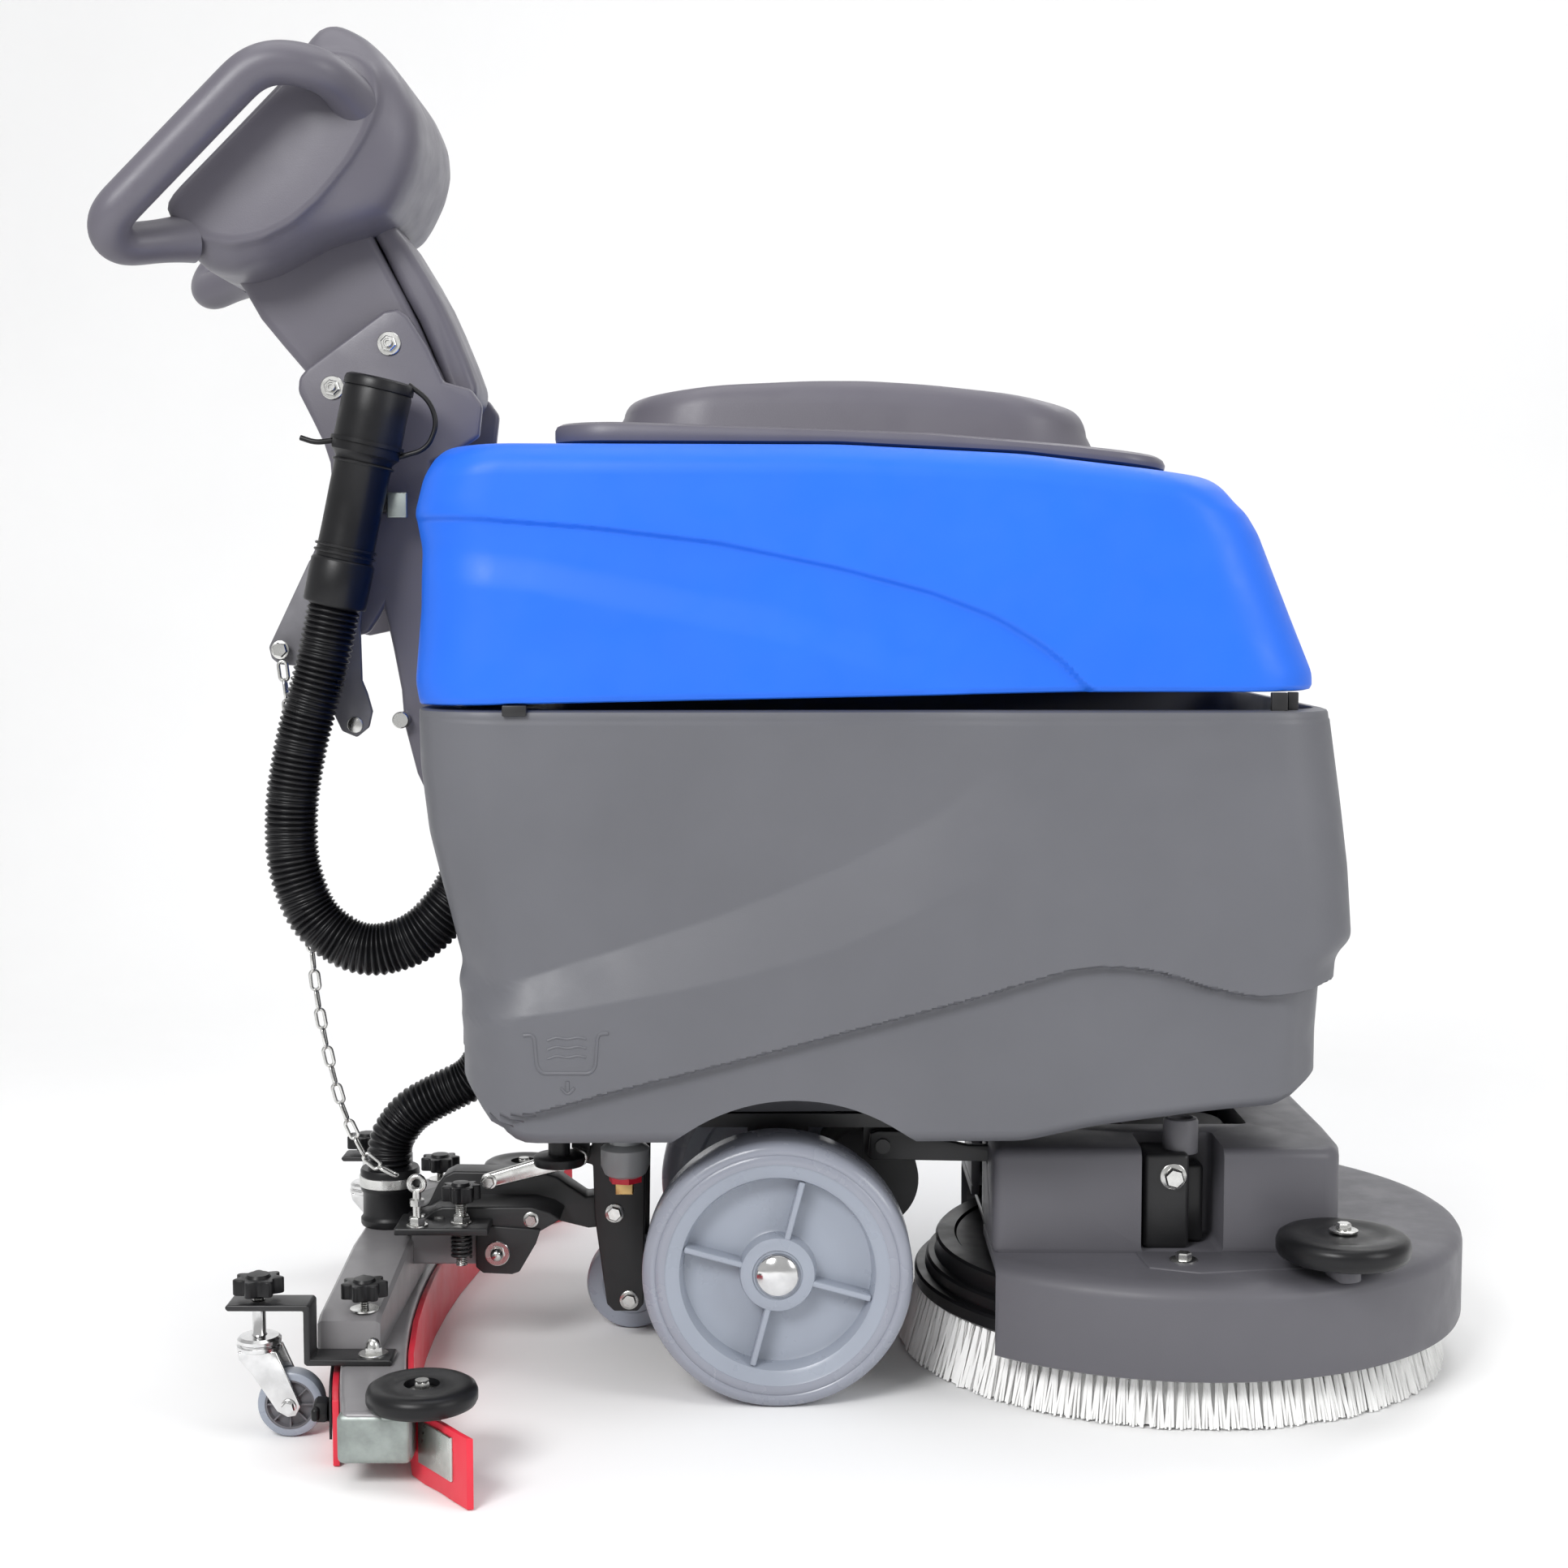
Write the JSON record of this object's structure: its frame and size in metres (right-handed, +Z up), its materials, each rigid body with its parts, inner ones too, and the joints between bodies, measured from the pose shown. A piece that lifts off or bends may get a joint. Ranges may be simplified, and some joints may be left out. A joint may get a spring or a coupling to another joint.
{
  "type": "floor scrubber machine",
  "caption": "Walk-behind floor scrubber with disc brush deck, curved squeegee, stacked water tanks and an angled operator head.",
  "frame": {"origin": "on the floor, below the middle of the overall box", "axes": "+X forward over the brush deck, +Y to the machine's left, +Z up"},
  "size_m": [1.0994, 0.764, 1.082],
  "materials": {
    "grey_tank": "moulded",
    "column_plastic": "moulded",
    "deck_plastic": "moulded",
    "blue_tank": "moulded",
    "steel_bright": "zinc plated",
    "steel_black": "powder coat",
    "motor_black": "painted",
    "battery": "battery case, matt",
    "filter_plastic": "moulded",
    "wheel_plastic": "moulded",
    "tyre": "polyurethane",
    "panel": "satin",
    "button_green": "gloss",
    "button_blue": "gloss",
    "key": "chrome",
    "black_plastic": "moulded",
    "hose": "corrugated",
    "lever_grey": "painted",
    "bristle": "nylon",
    "blade_red": "polyurethane",
    "clamp_steel": "brushed",
    "caster_chrome": "zinc"
  },
  "bodies": {
    "root": {"battery_pack": "battery", "chassis": "steel_black", "column_bolts": "steel_bright", "control_head": "grey_tank", "control_panel": "panel", "drain_cuff": "black_plastic", "drain_hose": "hose", "drive_unit": "motor_black", "handle_left": "grey_tank", "handle_right": "grey_tank", "lid_hinge": "steel_bright", "lower_column": "column_plastic", "rear_bracket": "steel_black", "recovery_tank": "blue_tank", "solution_tank": "grey_tank", "upper_neck": "grey_tank", "vacuum_hose": "hose", "vacuum_motor": "motor_black", "water_filter": "filter_plastic"},
    "lid": {"tank_lid": "grey_tank"},
    "drive_wheel_right": {"drive_hub_right": "wheel_plastic", "drive_tyre_right": "tyre"},
    "deck_bumper_right": {"deck_bumper_right": "black_plastic"},
    "body_knob_right": {"body_knob_right": "black_plastic"},
    "caster_knob_right": {"caster_knob_right": "black_plastic"},
    "caster_right": {"caster_fork_right": "caster_chrome"},
    "caster_wheel_right": {"caster_wheel_right": "wheel_plastic"},
    "end_roller_right": {"end_roller_right": "black_plastic"},
    "drive_wheel_left": {"drive_hub_left": "wheel_plastic", "drive_tyre_left": "tyre"},
    "deck_bumper_left": {"deck_bumper_left": "black_plastic"},
    "body_knob_left": {"body_knob_left": "black_plastic"},
    "caster_knob_left": {"caster_knob_left": "black_plastic"},
    "caster_left": {"caster_fork_left": "caster_chrome"},
    "caster_wheel_left": {"caster_wheel_left": "wheel_plastic"},
    "end_roller_left": {"end_roller_left": "black_plastic"},
    "rear_wheel": {"rear_wheel": "wheel_plastic"},
    "deck": {"deck_cover": "deck_plastic", "deck_frame": "steel_black", "brush_motor": "motor_black"},
    "brush": {"brush_plate": "black_plastic", "bristles": "bristle"},
    "lever": {"lift_lever": "lever_grey"},
    "chain": {"lift_chain": "steel_bright"},
    "squeegee": {"squeegee_arm": "steel_black", "squeegee_body": "deck_plastic", "front_blade": "blade_red", "rear_blade": "blade_red", "blade_clamps": "clamp_steel", "vacuum_socket": "black_plastic", "eye_bolt": "steel_bright", "height_spring": "steel_bright", "caster_bracket_right": "steel_black", "caster_bracket_left": "steel_black"},
    "link": {"squeegee_link": "steel_bright"},
    "height_knob": {"height_knob": "black_plastic"},
    "cap": {"drain_cap": "black_plastic"},
    "start_button": {"start_button": "button_green"},
    "vacuum_button": {"vacuum_button": "button_blue"},
    "key": {"key_switch": "key"}
  },
  "joints": [
    {"name": "lid_hinge", "type": "hinge", "parent": "root", "child": "lid", "pos_m": [0, 0.2, 0.757], "axis": [-1, 0, 0], "range_deg": [0, 95]},
    {"name": "drive_wheel_right_spin", "type": "hinge", "parent": "root", "child": "drive_wheel_right", "pos_m": [-0.025, -0.15, 0.106], "axis": [0, 1, 0], "continuous": true},
    {"name": "deck_bumper_right_spin", "type": "hinge", "parent": "deck", "child": "deck_bumper_right", "pos_m": [0.409, -0.203, 0.138], "axis": [0, 0, 1], "continuous": true},
    {"name": "body_knob_right_turn", "type": "hinge", "parent": "squeegee", "child": "body_knob_right", "pos_m": [-0.343, -0.2, 0.1], "axis": [0, 0, 1], "continuous": true},
    {"name": "caster_knob_right_turn", "type": "hinge", "parent": "squeegee", "child": "caster_knob_right", "pos_m": [-0.417, -0.232, 0.115], "axis": [0, 0, 1], "continuous": true},
    {"name": "caster_right_swivel", "type": "hinge", "parent": "squeegee", "child": "caster_right", "pos_m": [-0.417, -0.232, 0.07], "axis": [0, 0, 1], "continuous": true},
    {"name": "caster_wheel_right_spin", "type": "hinge", "parent": "caster_right", "child": "caster_wheel_right", "pos_m": [-0.393, -0.232, 0.0256], "axis": [0, 1, 0], "continuous": true},
    {"name": "end_roller_right_spin", "type": "hinge", "parent": "squeegee", "child": "end_roller_right", "pos_m": [-0.279, -0.33, 0.065], "axis": [0, 0, 1], "continuous": true},
    {"name": "drive_wheel_left_spin", "type": "hinge", "parent": "root", "child": "drive_wheel_left", "pos_m": [-0.025, 0.15, 0.106], "axis": [0, 1, 0], "continuous": true},
    {"name": "deck_bumper_left_spin", "type": "hinge", "parent": "deck", "child": "deck_bumper_left", "pos_m": [0.409, 0.203, 0.138], "axis": [0, 0, 1], "continuous": true},
    {"name": "body_knob_left_turn", "type": "hinge", "parent": "squeegee", "child": "body_knob_left", "pos_m": [-0.343, 0.2, 0.1], "axis": [0, 0, 1], "continuous": true},
    {"name": "caster_knob_left_turn", "type": "hinge", "parent": "squeegee", "child": "caster_knob_left", "pos_m": [-0.417, 0.232, 0.115], "axis": [0, 0, 1], "continuous": true},
    {"name": "caster_left_swivel", "type": "hinge", "parent": "squeegee", "child": "caster_left", "pos_m": [-0.417, 0.232, 0.07], "axis": [0, 0, 1], "continuous": true},
    {"name": "caster_wheel_left_spin", "type": "hinge", "parent": "caster_left", "child": "caster_wheel_left", "pos_m": [-0.393, 0.232, 0.0256], "axis": [0, 1, 0], "continuous": true},
    {"name": "end_roller_left_spin", "type": "hinge", "parent": "squeegee", "child": "end_roller_left", "pos_m": [-0.279, 0.33, 0.065], "axis": [0, 0, 1], "continuous": true},
    {"name": "rear_wheel_spin", "type": "hinge", "parent": "root", "child": "rear_wheel", "pos_m": [-0.151, 0.034, 0.04], "axis": [0, 1, 0], "continuous": true},
    {"name": "deck_lift", "type": "hinge", "parent": "root", "child": "deck", "pos_m": [0.06, 0, 0.19], "axis": [0, -1, 0], "range_deg": [0, 5]},
    {"name": "brush_spin", "type": "hinge", "parent": "deck", "child": "brush", "pos_m": [0.308, 0, 0.06], "axis": [0, 0, 1], "continuous": true},
    {"name": "lever_pull", "type": "hinge", "parent": "root", "child": "lever", "pos_m": [-0.372, -0.07, 0.622], "axis": [0, 1, 0], "range_deg": [0, 45]},
    {"name": "chain_rise", "type": "slide", "parent": "root", "child": "chain", "axis": [0, 0, 1], "range_m": [0, 0.05]},
    {"name": "squeegee_lift", "type": "hinge", "parent": "root", "child": "squeegee", "pos_m": [-0.163, 0, 0.115], "axis": [0, 1, 0], "range_deg": [0, 20.5], "deforming": ["vacuum_hose"]},
    {"name": "link_swing", "type": "hinge", "parent": "root", "child": "link", "pos_m": [-0.19, -0.041, 0.168], "axis": [0, 1, 0], "range_deg": [0, 28]},
    {"name": "height_knob_turn", "type": "hinge", "parent": "squeegee", "child": "height_knob", "pos_m": [-0.286, -0.07, 0.14], "axis": [0, 0, 1], "continuous": true},
    {"name": "drain_cap_pull", "type": "slide", "parent": "root", "child": "cap", "axis": [0.2151, 0, 0.9766], "range_m": [0, 0.03]},
    {"name": "start_button_press", "type": "slide", "parent": "root", "child": "start_button", "axis": [0.7071, 0, -0.7071], "range_m": [0, 0.0025], "stiffness_N_per_m": 400},
    {"name": "vacuum_button_press", "type": "slide", "parent": "root", "child": "vacuum_button", "axis": [0.7071, 0, -0.7071], "range_m": [0, 0.0025], "stiffness_N_per_m": 400},
    {"name": "key_turn", "type": "hinge", "parent": "root", "child": "key", "pos_m": [-0.47059, 0.046, 0.97465], "axis": [-0.7071, 0, 0.7071], "range_deg": [-90, 0]}
  ],
  "couplings": [
    {"joint": "squeegee_lift", "follows": "lever_pull", "ratio": 0.44444},
    {"joint": "chain_rise", "follows": "lever_pull", "m_per_rad": 0.06112},
    {"joint": "link_swing", "follows": "lever_pull", "ratio": 0.58889}
  ]
}
